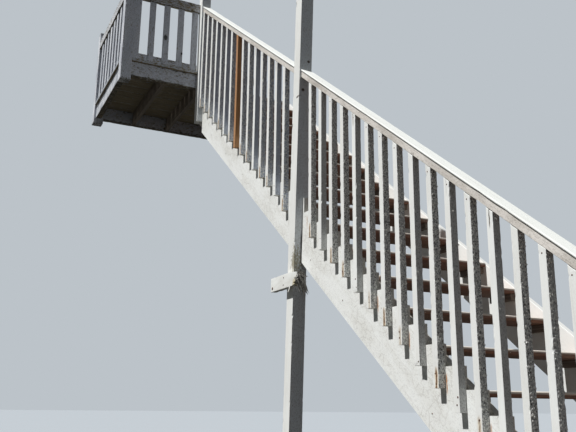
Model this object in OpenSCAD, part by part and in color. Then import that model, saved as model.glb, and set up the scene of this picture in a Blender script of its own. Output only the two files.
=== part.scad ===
// Timber fire escape stair: one straight flight against a wall and the landing at its head.
// X runs down the flight, Y towards the wall and Z up, with the wall face at Y = 0 and the ground at Z = 0.

/* [Flight] */
// Height of one step
rise = 203; // [197:1:209]
// Level distance from nosing to nosing
run = 266; // [260:1:280]
// Number of treads below the landing
tread_count = 22; // [21:1:24]
// Clear length of a tread between the stringers
tread_len = 968; // [820:1:1100]
// Depth of a tread from its nose to its back
tread_deep = 235; // [215:1:250]
// Thickness of a tread
tread_thick = 28; // [24:1:38]
// Rounding of a tread's front edges
nose_round = 7; // [3:1:11]

/* [Stringers] */
// Thickness of the stringers, skirt, rims and joists
plank = 38; // [32:1:42]
// Depth of a stringer square to its slope
stringer_deep = 286; // [270:1:310]
// Drop of the outer stringer's top edge below the line of the noses
outer_margin = 35; // [25:1:50]
// Drop of the wall stringer's top edge below the line of the noses
wall_drop = 14; // [8:1:28]
// How far the skirt hangs below the outer stringer
skirt_below = 5; // [0:1:12]
// How far the stringers' feet reach in front of the first nose
toe = 60; // [30:1:90]
// Side of the square cleats under the tread ends
cleat = 38; // [30:1:45]
// Setback of the cleats from a tread's front and back edges
cleat_back = 25; // [15:1:40]

/* [Balustrade] */
// Side of a square baluster
baluster = 38; // [32:1:44]
// Distance of the lowest baluster behind the first nose
first_baluster = 80; // [70:1:95]
// How far a riser of the skirt stands in from the upper edge of the baluster that hides it
riser_in = 4; // [2:1:20]
// How far a baluster laps below the step beside it
baluster_lap = 94; // [80:1:105]
// How much lower the first baluster above the middle post reaches
longer_foot = 40; // [0:1:60]
// Number of balusters below the middle post
lower_count = 25; // [23:1:27]
// Baluster places that the middle post takes up
post_places = 2; // [2:1:3]
// Which baluster above the post is the unpainted replacement
replaced = 8; // [2:1:12]
// Height of the lower rail over the line of the noses at its foot
lower_foot_high = 919; // [860:1:980]
// Height of the lower rail over the line of the noses at the middle post
lower_post_high = 943; // [880:1:1000]
// Height of the upper rail over the line of the noses at the middle post
upper_post_high = 932; // [860:1:990]
// Height of the upper rail over the line of the noses at its head
upper_head_high = 917; // [860:1:980]
// Thickness of the rail cap
cap_thick = 11; // [9:1:22]
// Width of the rail cap
cap_wide = 89; // [80:1:100]
// How far the rail cap stands out past the balusters
cap_proud = 5; // [0:1:8]
// Depth of the rail under the cap
sub_deep = 36; // [30:1:45]

/* [Posts] */
// Side of the square posts on the flight
post_side = 89; // [86:1:100]
// Lean of the middle post, as level drift for each unit of height
post_lean = 0.047; // [0:0.001:0.06]
// Height over the line of the noses where the middle post stands midway in its places
lean_high = 220; // [100:1:400]
// How far the middle post stands above the rails
mid_post_above = 732; // [450:1:900]
// How far the bottom newel stands above the rail beside it
foot_newel_above = 60; // [20:1:150]
// How far the head newel reaches below the landing's floor
newel_drop = 530; // [450:1:600]
// How far the head newel stands above the landing rail
newel_above = 460; // [100:1:600]
// Distance of the head newel behind the uppermost baluster
newel_gap = 9; // [4:1:20]
// Length of the broken board across the middle post
stub_len = 422; // [360:1:520]
// Depth of the broken board
stub_deep = 90; // [70:1:110]
// Height of the broken board's lower edge
stub_low = 2262; // [2100:1:2350]
// How far the broken board reaches up the flight past the post
stub_past = 166; // [120:1:220]
// Length of its torn end
tear_len = 140; // [60:1:150]

/* [Landing] */
// Length of the landing along the wall
land_len = 1322; // [1150:1:1800]
// How far the landing reaches out past the flight's skirt
land_out = 790; // [650:1:950]
// Thickness of the floor boards
deck_thick = 28; // [22:1:34]
// Width of a floor board
board_wide = 140; // [100:1:170]
// Gap between floor boards
board_gap = 4; // [2:1:7]
// Depth of the rims, joists and ledger
rim_deep = 140; // [125:1:170]
// Thickness of the fascia boards
fascia_thick = 19; // [15:1:25]
// How far the floor boards stand out past the fascia
deck_over = 22; // [14:1:28]
// Side of the posts at the landing's corners
corner_side = 100; // [92:1:112]
// How far the corner posts reach below the rims
corner_drop = 57; // [20:1:110]
// How far the corner posts stand above the landing rail
corner_above = 110; // [40:1:300]
// Height of the landing rail over its floor
land_rail = 721; // [690:1:1000]
// Depth of the landing rail, which stands on edge
land_rail_deep = 90; // [70:1:110]
// Width of a flat baluster on the landing's front
slat_wide = 60; // [45:1:70]
// Thickness of a flat baluster
slat_thick = 19; // [16:1:28]
// Distance between the landing's balusters, centre to centre
slat_pitch = 141; // [125:1:150]

/* [Hidden] */
slope = rise / run;
pitch = run / 2;
half = rise / 2;
places = 2 * (tread_count - 1);
upper_first = lower_count + post_places;
upright = sqrt(1 + slope * slope);

// Faces across the flight, from the wall outwards
wall_in = -plank;
tread_out = wall_in - tread_len;
stringer_out = tread_out - plank;
skirt_out = stringer_out - plank;
baluster_out = skirt_out - baluster;
post_out = stringer_out - post_side;
cap_out = baluster_out - cap_proud;

// Heights and places on the flight
function nosing(x) = rise - slope * x;
function nose_x(k) = -(k - 1) * run;
function baluster_x(n) = -first_baluster - n * pitch;
function step_x(n) = baluster_x(n) + riser_in;
function step_z(n) = rise + n * half;

// Head of the flight and the landing
head_x = baluster_x(places - 1) - newel_gap;
rim_front = head_x - post_side;
land_front = rim_front + fascia_thick + deck_over;
land_back = land_front - land_len;
rim_back = land_back + fascia_thick + deck_over;
deck_z = (tread_count + 1) * rise;
deck_low = deck_z - deck_thick;
rim_low = deck_low - rim_deep;
opening_x = nose_x(tread_count + 1);
header_front = opening_x - deck_over;
header_back = header_front - plank;
deck_out = skirt_out - land_out;
corner_in = deck_out + corner_side;
rim_out = deck_out + fascia_thick + deck_over;
rail_top = deck_z + land_rail;
rail_low = rail_top - land_rail_deep;

// Middle post, which leans in the plane of the balustrade
post_mid = (baluster_x(lower_count) + baluster_x(upper_first - 1) + baluster) / 2;
function post_x(z) = post_mid + post_lean * (z - nosing(post_mid) - lean_high);

// Each rail's top edge as a line, given as its height at x = 0 and its fall
function rail_fall(xa, ha, xb, hb) = slope + (ha - hb) / (xb - xa);
lower_fall = rail_fall(toe, lower_foot_high, post_mid, lower_post_high);
lower_start = nosing(toe) + lower_foot_high + lower_fall * toe;
upper_fall = rail_fall(post_mid, upper_post_high, head_x, upper_head_high);
upper_start = nosing(head_x) + upper_head_high + upper_fall * head_x;
mid_post_top = upper_start - upper_fall * post_mid + mid_post_above;
// Where a line meets the middle post's side, at a level distance off its middle line
function meet(start, fall, off) = (post_x(0) + off + post_lean * start) / (1 + post_lean * fall);

function two_digits(k) = str(k < 10 ? "0" : "", k);
tread_names = [for (k = [1:tread_count]) str("tread_", two_digits(k))];

// A level block between two corners
module block(low, high) translate(low) cube(high - low);

// An outline in X and Z, drawn out from one Y to another
module side_outline(out, in) translate([0, in, 0]) rotate([90, 0, 0]) linear_extrude(in - out) children();

// Stringer with a level foot, a plumb toe and a plumb head, its top edge above the line of the noses
module stringer_outline(above) {
    below = above - stringer_deep * upright;
    polygon([[(rise + below) / slope, 0], [toe, 0], [toe, nosing(toe) + above],
        [header_front, nosing(header_front) + above], [header_front, nosing(header_front) + below]]);
}

module outer_stringer() color("#d8d5cd") difference() {
    side_outline(stringer_out, tread_out) stringer_outline(-outer_margin);
    block([header_front - 1, stringer_out - 1, deck_low], [opening_x, tread_out + 1, deck_z + plank]);
}

module wall_stringer() color("#dedbd2") side_outline(wall_in, 0) stringer_outline(-wall_drop);

// Skirt board whose top edge steps twice for each tread, with every riser hidden behind a baluster
module skirt_outline() {
    below = outer_margin + stringer_deep * upright + skirt_below;
    steps = [for (n = [places - 2:-1:0]) for (side = [1, 0]) [step_x(n), step_z(n + side)]];
    polygon(concat([[(rise - below) / slope, 0], [head_x, nosing(head_x) - below],
        [head_x, step_z(places - 1)]], steps, [[toe, step_z(0)], [toe, 0]]));
}

module stepped_skirt() color("#f4f3ee") side_outline(skirt_out, stringer_out) skirt_outline();

// Cleats under both ends of every tread
module tread_cleats() color("#6b5d4f") {
    for (k = [1:tread_count]) {
        high = k * rise - tread_thick;
        back = nose_x(k) - tread_deep + cleat_back;
        front = nose_x(k) - cleat_back;
        block([back, tread_out, high - cleat], [front, tread_out + cleat, high]);
        block([back, wall_in - cleat, high - cleat], [front, wall_in, high]);
    }
}

// Tread with a rounded nose
module tread_outline() {
    translate([-tread_deep, 0]) square([tread_deep - nose_round, tread_thick]);
    translate([-nose_round, nose_round]) square([nose_round, tread_thick - 2 * nose_round]);
    for (z = [nose_round, tread_thick - nose_round]) translate([-nose_round, z]) circle(nose_round, $fn = 32);
}

module tread(k) color("#63463a") translate([nose_x(k), 0, k * rise - tread_thick])
    side_outline(tread_out, wall_in) tread_outline();

// Baluster cut square at its foot and to the rail's slope at its top
module baluster_bar(n, lap, start, fall) {
    under = (cap_thick + sub_deep) * sqrt(1 + fall * fall);
    x = baluster_x(n);
    foot = step_z(n) - lap;
    side_outline(baluster_out, skirt_out) polygon([[x, foot], [x + baluster, foot],
        [x + baluster, start - fall * (x + baluster) - under], [x, start - fall * x - under]]);
}

module lower_balusters() color("#f2f1ec") {
    for (n = [0:lower_count - 1]) baluster_bar(n, baluster_lap, lower_start, lower_fall);
}

module upper_balusters() color("#f2f1ec") {
    baluster_bar(upper_first, baluster_lap + longer_foot, upper_start, upper_fall);
    for (n = [upper_first + 1:places - 1]) if (n != upper_first + replaced - 1) {
        baluster_bar(n, baluster_lap, upper_start, upper_fall);
    }
}

module replacement_baluster() color("#a8733f")
    baluster_bar(upper_first + replaced - 1, baluster_lap, upper_start, upper_fall);

// Points of a rail's side between two depths under its top edge, each end cut to what it butts on
function lower_points(from_top, to_top) = let (
    up = sqrt(1 + lower_fall * lower_fall),
    high = lower_start - from_top * up,
    low = lower_start - to_top * up,
    high_x = meet(high, lower_fall, post_side / 2),
    low_x = meet(low, lower_fall, post_side / 2)
) [[high_x, high - lower_fall * high_x], [toe, high - lower_fall * toe],
    [toe, low - lower_fall * toe], [low_x, low - lower_fall * low_x]];

function upper_points(from_top, to_top) = let (
    up = sqrt(1 + upper_fall * upper_fall),
    high = upper_start - from_top * up,
    low = upper_start - to_top * up,
    high_x = meet(high, upper_fall, -post_side / 2),
    low_x = meet(low, upper_fall, -post_side / 2)
) [[head_x, high - upper_fall * head_x], [high_x, high - upper_fall * high_x],
    [low_x, low - upper_fall * low_x], [head_x, low - upper_fall * head_x]];

module lower_rail_cap() color("#f6f5f0") side_outline(cap_out, cap_out + cap_wide)
    polygon(lower_points(0, cap_thick));

module upper_rail_cap() color("#f6f5f0") side_outline(cap_out, cap_out + cap_wide)
    polygon(upper_points(0, cap_thick));

module lower_sub_rail() color("#e3ddd5") side_outline(baluster_out, skirt_out)
    polygon(lower_points(cap_thick, cap_thick + sub_deep));

module upper_sub_rail() color("#e3ddd5") side_outline(baluster_out, skirt_out)
    polygon(upper_points(cap_thick, cap_thick + sub_deep));

// Leaning post from the ground past the rail, notched over the skirt
module mid_post() color("#eceae4") difference() {
    side_outline(post_out, stringer_out) polygon([
        [post_x(0) - post_side / 2, 0], [post_x(0) + post_side / 2, 0],
        [post_x(mid_post_top) + post_side / 2, mid_post_top],
        [post_x(mid_post_top) - post_side / 2, mid_post_top]]);
    side_outline(skirt_out, stringer_out + 1) skirt_outline();
}

// Level board nailed across the middle post, broken off at its lower end
module post_stub() color("#f2f1ec") {
    left = post_x(stub_low) - post_side / 2 - stub_past;
    right = left + stub_len;
    // Shares of the tear's length and of the board's depth, from its lower edge up
    tips = [[0.8, 0], [0.5, 0.1], [0.7, 0.2], [0.1, 0.35], [0.4, 0.45], [0, 0.6], [0.35, 0.75], [0.2, 0.85], [0.9, 1]];
    torn = [for (tip = tips) [right - tip[0] * tear_len, stub_low + tip[1] * stub_deep]];
    side_outline(post_out - plank, post_out)
        polygon(concat([[left, stub_low]], torn, [[left, stub_low + stub_deep]]));
}

module foot_newel() color("#eceae4") block([toe, post_out, 0],
    [toe + post_side, stringer_out, lower_start - lower_fall * toe + foot_newel_above]);

module top_newel() color("#dcdad5")
    block([rim_front, post_out, deck_z - newel_drop], [head_x, stringer_out, rail_top + newel_above]);

// Corner post of the landing, flush with the ends of the floor boards
module corner_post(front) block([front - corner_side, deck_out, rim_low - corner_drop],
    [front, corner_in, rail_top + corner_above]);

module landing_posts() color("#b9bcc0") {
    corner_post(land_front);
    corner_post(land_back + corner_side);
}

// Floor boards side by side between two places along the landing, all reaching in to the same Y
module floor_boards(back, front, in) {
    count = round((front - back + board_gap) / (board_wide + board_gap));
    wide = (front - back + board_gap) / count - board_gap;
    for (k = [0:count - 1]) {
        low = back + k * (wide + board_gap);
        block([low, deck_out, deck_low], [low + wide, in, deck_z]);
    }
}

// Landing floor: short boards beside the flight and long ones behind its head, cut round the posts
module landing_deck() color("#9aa0a6") difference() {
    union() {
        floor_boards(opening_x + board_gap, land_front, stringer_out);
        floor_boards(land_back, opening_x, 0);
    }
    block([header_front, wall_in, deck_low - 1], [opening_x + 1, 1, deck_z + 1]);
    block([rim_front, post_out, deck_low - 1], [land_front + 1, stringer_out + 1, deck_z + 1]);
    corner_post(land_front);
    corner_post(land_back + corner_side);
}

// Joists along the wall: outside the flight, beside it and behind its head
module landing_joists() color("#8d8a84") {
    outer = (rim_out + skirt_out) / 2;
    inner = (stringer_out + wall_in - plank) / 2;
    block([rim_back + plank, outer, rim_low], [rim_front - plank, outer + plank, deck_low]);
    block([rim_back + plank, skirt_out, rim_low], [rim_front - plank, stringer_out, deck_low]);
    block([rim_back + plank, inner, rim_low], [header_back, inner + plank, deck_low]);
}

module wall_ledger() color("#8d8a84")
    block([rim_back + plank, wall_in, rim_low], [header_front, 0, deck_low]);

// Rims on three sides, and the header behind the head of the flight
module landing_rims() color("#93969a") {
    block([rim_front - plank, corner_in, rim_low], [rim_front, stringer_out, deck_low]);
    block([rim_back, corner_in, rim_low], [rim_back + plank, 0, deck_low]);
    block([land_back + corner_side, rim_out, rim_low], [land_front - corner_side, rim_out + plank, deck_low]);
    block([header_back, stringer_out, rim_low], [header_front, wall_in, deck_low]);
}

module landing_fascia() color("#a9adb2") {
    block([rim_front, corner_in, rim_low], [rim_front + fascia_thick, post_out, deck_low]);
    block([rim_back - fascia_thick, corner_in, rim_low], [rim_back, 0, deck_low]);
    block([land_back + corner_side, rim_out - fascia_thick, rim_low],
        [land_front - corner_side, rim_out, deck_low]);
}

// Rails on edge along the landing's front, back and outer side
module landing_rails() color("#c4c3bf") {
    block([rim_front, corner_in, rail_low], [rim_front + plank, post_out, rail_top]);
    block([land_back, corner_in, rail_low], [land_back + plank, 0, rail_top]);
    block([land_back + corner_side, deck_out, rail_low], [land_front - corner_side, deck_out + plank, rail_top]);
}

// Evenly spaced centres between two faces
function centres(low, high) = let (gaps = round((high - low) / slat_pitch))
    [for (k = [1:gaps - 1]) low + k * (high - low) / gaps];

module landing_balusters() color("#bfc1c3") {
    front = rim_front + (plank - slat_thick) / 2;
    back = land_back + (plank - slat_thick) / 2;
    side = deck_out + (plank - slat_thick) / 2;
    for (y = [corner_in + slat_wide / 2:slat_pitch:post_out - slat_wide / 2]) {
        block([front, y - slat_wide / 2, deck_z], [front + slat_thick, y + slat_wide / 2, rail_low]);
    }
    for (y = centres(corner_in, 0)) {
        block([back, y - slat_wide / 2, deck_z], [back + slat_thick, y + slat_wide / 2, rail_low]);
    }
    for (x = centres(land_back + corner_side, land_front - corner_side)) {
        block([x - slat_wide / 2, side, deck_z], [x + slat_wide / 2, side + slat_thick, rail_low]);
    }
}

outer_stringer();
wall_stringer();
stepped_skirt();
tread_cleats();
for (k = [1:tread_count]) tread(k);
lower_balusters();
upper_balusters();
replacement_baluster();
lower_rail_cap();
upper_rail_cap();
lower_sub_rail();
upper_sub_rail();
mid_post();
post_stub();
foot_newel();
top_newel();
landing_deck();
landing_joists();
wall_ledger();
landing_rims();
landing_fascia();
landing_posts();
landing_rails();
landing_balusters();
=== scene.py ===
import math
import random
from functools import partial

import bmesh
import bpy
from mathutils import Matrix, Vector, noise


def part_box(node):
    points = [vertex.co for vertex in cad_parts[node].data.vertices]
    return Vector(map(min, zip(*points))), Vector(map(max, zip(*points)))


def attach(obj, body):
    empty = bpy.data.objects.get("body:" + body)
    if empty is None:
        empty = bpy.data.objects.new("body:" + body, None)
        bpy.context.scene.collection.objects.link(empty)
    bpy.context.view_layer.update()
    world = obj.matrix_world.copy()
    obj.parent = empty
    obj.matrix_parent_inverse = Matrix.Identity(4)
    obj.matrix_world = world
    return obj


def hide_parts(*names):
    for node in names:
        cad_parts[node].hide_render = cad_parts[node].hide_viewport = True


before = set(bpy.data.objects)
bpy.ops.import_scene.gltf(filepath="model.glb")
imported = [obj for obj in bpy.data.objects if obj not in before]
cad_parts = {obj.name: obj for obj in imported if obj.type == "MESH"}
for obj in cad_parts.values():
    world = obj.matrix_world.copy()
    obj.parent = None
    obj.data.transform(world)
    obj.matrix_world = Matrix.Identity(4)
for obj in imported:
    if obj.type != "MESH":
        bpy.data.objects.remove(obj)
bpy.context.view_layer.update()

print("stage: frame loaded")

# The stair's rule, repeated from the part in metres: X runs down the flight, Y in from the balustrade
stair = {
    "rise": 0.203,
    "run": 0.266,
    "treads": 22,
    "firstBaluster": 0.080,
    "balusterSide": 0.038,
    "lowerCount": 25,  # balusters below the tall post
    "postPlaces": 2,  # baluster places that the post takes
    "postSide": 0.089,
}
slope = math.atan2(stair["rise"], stair["run"])
alongSlope = Vector((math.cos(slope), 0, -math.sin(slope)))
alongX = Vector((1, 0, 0))
alongY = Vector((0, 1, 0))
alongZ = Vector((0, 0, 1))

# Boxes that the stains, the splinters and the nails are placed from
stubLow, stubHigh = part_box("post_stub")
postLow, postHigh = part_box("mid_post")
skirtLow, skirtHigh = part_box("stepped_skirt")

# How a Mapping node is turned so that its x runs with the grain
grainTurns = {
    "slope": (0, slope, 0),
    "x": (0, 0, 0),
    "y": (0, 0, math.radians(90)),
    "z": (0, math.radians(-90), 0),
}
softEnds = {"interpolation_type": "SMOOTHSTEP"}  # for a Map Range that fades at both ends
realSize = {"vector_type": "TEXTURE"}  # for a Mapping that divides by a size in metres
timesPlus = {"operation": "MULTIPLY_ADD"}  # the first times the second, plus the third
moreThan = {"operation": "GREATER_THAN", "data_type": "FLOAT"}
randomVector = {"out": "Value", "data_type": "FLOAT_VECTOR"}
boardMarks = ("tone", "fromFoot", "across", "fromTop")  # what each point of a worn board knows


def linearColour(hexText):
    channels = [int(hexText[i:i + 2], 16) / 255 for i in (1, 3, 5)]
    return [c / 12.92 if c <= 0.04045 else ((c + 0.055) / 1.055) ** 2.4 for c in channels] + [1]


# Adds a node with its settings and its inputs, which are sockets, plain values or hex colours. They are
# named, or listed in the sockets' own order, which for a Map Range is the value, the range it comes from
# and the range it goes to. A kind without its family's name is a shader node.
def addNode(tree, kind, inputs=(), out=0, **settings):
    made = tree.nodes.new(kind if "Node" in kind else "ShaderNode" + kind)
    for key, value in settings.items():
        setattr(made, key, value)
    for key, value in inputs.items() if isinstance(inputs, dict) else enumerate(inputs):
        if isinstance(value, bpy.types.NodeSocket):
            tree.links.new(value, made.inputs[key])
        elif isinstance(value, str) and value.startswith("#"):
            made.inputs[key].default_value = linearColour(value)
        else:
            made.inputs[key].default_value = value
    return made.outputs[out] if len(made.outputs) else made


def addObject(name, data):
    made = bpy.data.objects.new(name, data)
    bpy.context.scene.collection.objects.link(made)
    return made


def startMaterial(name):
    made = bpy.data.materials.new(name)
    made.use_nodes = True
    made.node_tree.nodes.clear()
    return made, made.node_tree


def closeMaterial(tree, colour, roughness, height, bumpDepth, metallic=0.0):
    normal = addNode(tree, "Bump", {"Height": height, "Strength": 1.0, "Distance": bumpDepth})
    shader = addNode(tree, "BsdfPrincipled", {
        "Base Color": colour, "Roughness": roughness, "Normal": normal, "Metallic": metallic})
    addNode(tree, "OutputMaterial", {"Surface": shader})


# Noise at a real size: a cell's three sizes are metres along the grain, then across it twice
def grainNoise(tree, place, grain, cell, detail, roughness, distortion=0.0):
    turned = addNode(tree, "Mapping", {
        "Vector": place, "Rotation": grainTurns[grain], "Scale": cell}, **realSize)
    return addNode(tree, "TexNoise", {
        "Vector": turned, "Scale": 1, "Detail": detail, "Roughness": roughness, "Distortion": distortion})


# A patch around a centre. The distance from it is counted in reaches, and a noise breaks up its edge,
# which runs from where the patch is off to where it is full.
def raggedPatch(tree, place, cloudy, patch):
    local = addNode(tree, "Mapping", {
        "Vector": place, "Location": patch["centre"], "Rotation": patch.get("turn", (0, 0, 0)),
        "Scale": patch["reach"]}, **realSize)
    far = addNode(tree, "VectorMath", [local], out="Value", operation="LENGTH")
    far = addNode(tree, "Math", [cloudy, patch["bite"], far], **timesPlus)
    return addNode(tree, "MapRange", [far, patch["off"], patch["on"], 0, patch["full"]], **softEnds)


# A thin line that the flake noise pushes from side to side, full at its core
def wanderingLine(tree, across, flake, line):
    wander = addNode(tree, "Math", [flake, line["swing"], line["shift"]], **timesPlus)
    off = addNode(tree, "Math", [across, wander], operation="ADD")
    off = addNode(tree, "Math", [off], operation="ABSOLUTE")
    return addNode(tree, "MapRange", [off, line["wide"], line["core"], 0, line["full"]], **softEnds)


# One mask that is on only where all of these are
def whereAll(tree, *masks):
    whole = masks[0]
    for mask in masks[1:]:
        whole = addNode(tree, "Math", [whole, mask], operation="MULTIPLY")
    return whole


# Colours laid over one another, each where its own mask lets it
def layCoats(tree, colour, coats):
    for mask, over in coats:
        colour = addNode(tree, "Mix", {0: mask, 6: colour, 7: over}, out=2, data_type="RGBA")
    return colour


# House paint brushed on planed softwood and left out for years. It dries chalky, so the lit faces are a
# flat warm white. The faces that look down the flight take a darker colour, painted shade with grime, and
# crack into grains and let grey wood through; level tops take the same colour, painted shade with dust.
def brushedPaint(name, base, **changes):
    look = {**base, **changes}
    made, tree = startMaterial(name)
    place, normal = [addNode(tree, "TexCoord", out=label) for label in ("Object", "Normal")]
    field = {label: addNode(tree, "Attribute", out="Fac", attribute_name=label) for label in boardMarks}
    for axis in "XYZ":
        field[axis] = addNode(tree, "SeparateXYZ", {"Vector": place}, out=axis)
        field["to" + axis] = addNode(tree, "SeparateXYZ", {"Vector": normal}, out=axis)
    tone = field["tone"]
    way = look["grain"]
    cloud = grainNoise(tree, place, way, (0.32, 0.11, 0.11), 5, 0.6)
    grain = grainNoise(tree, place, way, (0.22, 0.0045, 0.0045), 4, 0.55)
    flake = grainNoise(tree, place, way, (0.030, 0.010, 0.010), 7, 0.68, 0.4)
    # Real grains of cracked paint are about 3 mm; they are drawn at 6 mm so that they show
    crack = grainNoise(tree, place, way, (0.009, 0.006, 0.006), 4, 0.7, 0.2)

    # The side that looks down the flight and level tops take painted shade; the underside is damp
    toFoot, toSky = field["toX"], field["toZ"]
    sheltered, under, top = [
        addNode(tree, "MapRange", [looks, off, on, 0, look[share]], **softEnds)
        for looks, off, on, share in (
            (toFoot, 0.72, 0.9, "shelter"), (toSky, -0.35, -0.8, "under"), (toSky, 0.6, 0.9, "top"))]
    # Painted shade: the side that looks down the flight and level tops darken, with grime and dust
    shadeGrimeAndDust = addNode(tree, "Math", [sheltered, top], operation="MAXIMUM")

    # Clouds of grime over the coat, a little different from board to board
    cloudMask = addNode(tree, "MapRange", [cloud, 0.42, 0.72])
    toneShare = addNode(tree, "Math", [tone, look["toneSpread"]], operation="MULTIPLY")
    grime = addNode(tree, "Math", [cloudMask, look["cloud"], toneShare], use_clamp=True, **timesPlus)

    # Fine dark lines where the coat has sunk into the grain
    lineMask = addNode(tree, "MapRange", [grain, 0.60, 0.72, 0, look["lines"]], **softEnds)

    # Cracked grains on the side that looks down the flight: dark seams between pale crumbs
    crackEdge = addNode(tree, "MapRange", [crack, 0.50, 0.60], **softEnds)
    crackSome = addNode(tree, "Math", [sheltered, look["crackOpen"]], operation="MAXIMUM")
    crackBoard = addNode(tree, "MapRange", [tone, 0.40, 0.55, 1 - look["crackVary"], 1.0])
    crackMask = whereAll(tree, crackEdge, crackSome, crackBoard, look["crack"])

    # Where the coat has come off, the grey wood shows with its own grain
    woodTone = addNode(tree, "MapRange", [grain, 0.35, 0.65])
    wood = layCoats(tree, look["woodDark"], [(woodTone, look["woodPale"])])
    loose = flake
    for damp, share in ((sheltered, 0.06), (under, 0.22)):
        loose = addNode(tree, "Math", [damp, share, loose], **timesPlus)
    peelEdge = 0.74 - look["peel"]
    peelMask = addNode(tree, "MapRange", [loose, peelEdge, peelEdge + 0.02], **softEnds)

    # Extra stains, which only some pieces have, come over everything else
    field.update(place=place, cloud=cloud, flake=flake)
    stains = [(mask(tree, field), stain) for mask, stain in look.get("stains", [])]
    colour = layCoats(tree, look["paint"], [
        (grime, look["grime"]), (shadeGrimeAndDust, look["sheltered"]), (lineMask, look["line"]),
        (crackMask, look["crackDark"]), (peelMask, wood), *stains])

    # The coat stands about half a millimetre over the bare patches and follows the grain under it
    height = 0.0
    for mask, up in ((peelMask, -0.9), (grain, 0.5), (crackMask, -1.0)):
        height = addNode(tree, "Math", [mask, up, height], **timesPlus)
    roughness = addNode(tree, "MapRange", [peelMask, 0, 1, 0.62, 0.9])
    closeMaterial(tree, colour, roughness, height, 0.0009)
    return made


# Rust that runs down a baluster's lit face from the nails in its foot, on about half of them. The same
# line is drawn twice: wide and cream where the paint is tinted, narrow and brown at its middle.
def footRust(tree, field, wide=0.0078, full=1.0):
    narrow = wanderingLine(tree, field["across"], field["flake"], {
        "swing": 0.030, "shift": -0.0175, "wide": wide, "core": wide * 0.2, "full": full})
    low, some = [addNode(tree, "MapRange", [field[label], off, on], **softEnds)
                 for label, off, on in (("fromFoot", 0.100, 0.065), ("tone", 0.40, 0.62))]
    outward = addNode(tree, "MapRange", [field["toY"], 0.1, -0.3, 0.15], **softEnds)
    return whereAll(tree, narrow, low, some, outward)


# Dark split or nail stain at a baluster's head, on a few of them
def headStain(tree, field):
    narrow = wanderingLine(tree, field["across"], field["flake"], {
        "swing": 0.012, "shift": -0.004, "wide": 0.0045, "core": 0.001, "full": 1.0})
    near = addNode(tree, "MapRange", [field["fromTop"], 0.10, 0.07], **softEnds)
    some = addNode(tree, "MapRange", [field["tone"], 0.30, 0.22])
    return whereAll(tree, narrow, near, some)


# Rust on the skirt just beside a baluster's foot. The place repeats with the balusters and the height
# with the steps, and a random number for each step leaves most of them clean.
def besideRust(tree, field):
    pitch = stair["run"] / 2
    upperSide = 0.4  # where a baluster's upper side comes in its own pitch
    stainOff = 0.045  # down the flight from that side, 7 mm past the baluster
    count = addNode(tree, "Math", [
        field["X"], -1 / pitch, -stair["firstBaluster"] / pitch + upperSide], **timesPlus)
    step = addNode(tree, "Math", [count], operation="FLOOR")
    share = addNode(tree, "Math", [count], operation="FRACT")
    off = addNode(tree, "Math", [share, -(upperSide - stainOff / pitch)], operation="ADD")
    narrow = wanderingLine(tree, off, field["flake"], {
        "swing": 0.10, "shift": -0.05, "wide": 0.045, "core": 0.01, "full": 1.0})
    level = addNode(tree, "Math", [step, -stair["rise"] / 2, field["Z"]], **timesPlus)
    low, high = [
        addNode(tree, "MapRange", [level, stair["rise"] - clean, stair["rise"] - rusty], **softEnds)
        for clean, rusty in ((0.13, 0.09), (0.02, 0.05))]
    chance = addNode(tree, "TexWhiteNoise", {"W": step}, noise_dimensions="1D")
    some = addNode(tree, "MapRange", [chance, 0.68, 0.85])
    return whereAll(tree, narrow, low, high, some)


# A short dark nick in the tall post, where a knot has dropped out, two rusty knots on its side, and two
# dark knots that have bled through the paint of the landing's slats
knotEdge = {"turn": (0, math.radians(-4), 0), "bite": 1.2, "off": 1.6, "on": 1.2, "full": 1.0}
postMarks = (
    {**knotEdge, "centre": (-3.404, postLow.y, 3.533), "reach": (0.026, 0.02, 0.007)},
    {**knotEdge, "centre": (-3.362, -1.068, 3.787), "reach": (0.05, 0.014, 0.012)},
    {**knotEdge, "centre": (-3.372, -1.104, 3.580), "reach": (0.05, 0.016, 0.014)},
)
slatMarks = (
    {**knotEdge, "centre": (-5.602, -1.465, 4.955), "reach": (0.05, 0.022, 0.036)},
    {**knotEdge, "centre": (-5.602, -1.296, 4.823), "reach": (0.05, 0.016, 0.018)},
)


def knots(tree, field, marks):
    whole = 0.0
    for mark in marks:
        dark = raggedPatch(tree, field["place"], field["flake"], mark)
        whole = addNode(tree, "Math", [whole, dark], operation="MAXIMUM")
    return whole


# Dark grime and rot that creep in from a board's lower and upper edges, where water hangs longest
def edgeRot(tree, field):
    down = addNode(tree, "Math", [field["fromTop"], 0.006], operation="ADD")
    ragged = addNode(tree, "Math", [field["fromFoot"], down], operation="MINIMUM")
    for noiseName, bite in (("flake", -0.14), ("cloud", -0.06)):
        ragged = addNode(tree, "Math", [field[noiseName], bite, ragged], **timesPlus)
    return addNode(tree, "MapRange", [ragged, -0.090, -0.102, 0, 0.9], **softEnds)


tear = {
    "x": stubHigh.x - 0.0396,  # at the board's middle height
    "slant": 0.8,  # along the board for each metre up
    "ragged": 0.14,
    "fade": 0.012,
}


# Bare, rotten wood at the torn end of the broken board
def tornEnd(tree, field):
    ragged = addNode(tree, "Math", [field["flake"], tear["ragged"], field["X"]], **timesPlus)
    ragged = addNode(tree, "Math", [field["Z"], -tear["slant"], ragged], **timesPlus)
    edge = tear["x"] + tear["ragged"] / 2 - tear["slant"] * (stubLow.z + stubHigh.z) / 2
    return addNode(tree, "MapRange", [ragged, edge - tear["fade"], edge + tear["fade"]], **softEnds)


# Resin and damp that have yellowed the paint beside the tear
yellowed = {
    "centre": (stubHigh.x - 0.0616, stubLow.y, stubLow.z + 0.013), "reach": (0.050, 0.06, 0.036),
    "bite": -1.4, "off": 0.40, "on": -0.10, "full": 0.8,
}


def tearTint(tree, field):
    return raggedPatch(tree, field["place"], field["flake"], yellowed)


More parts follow.
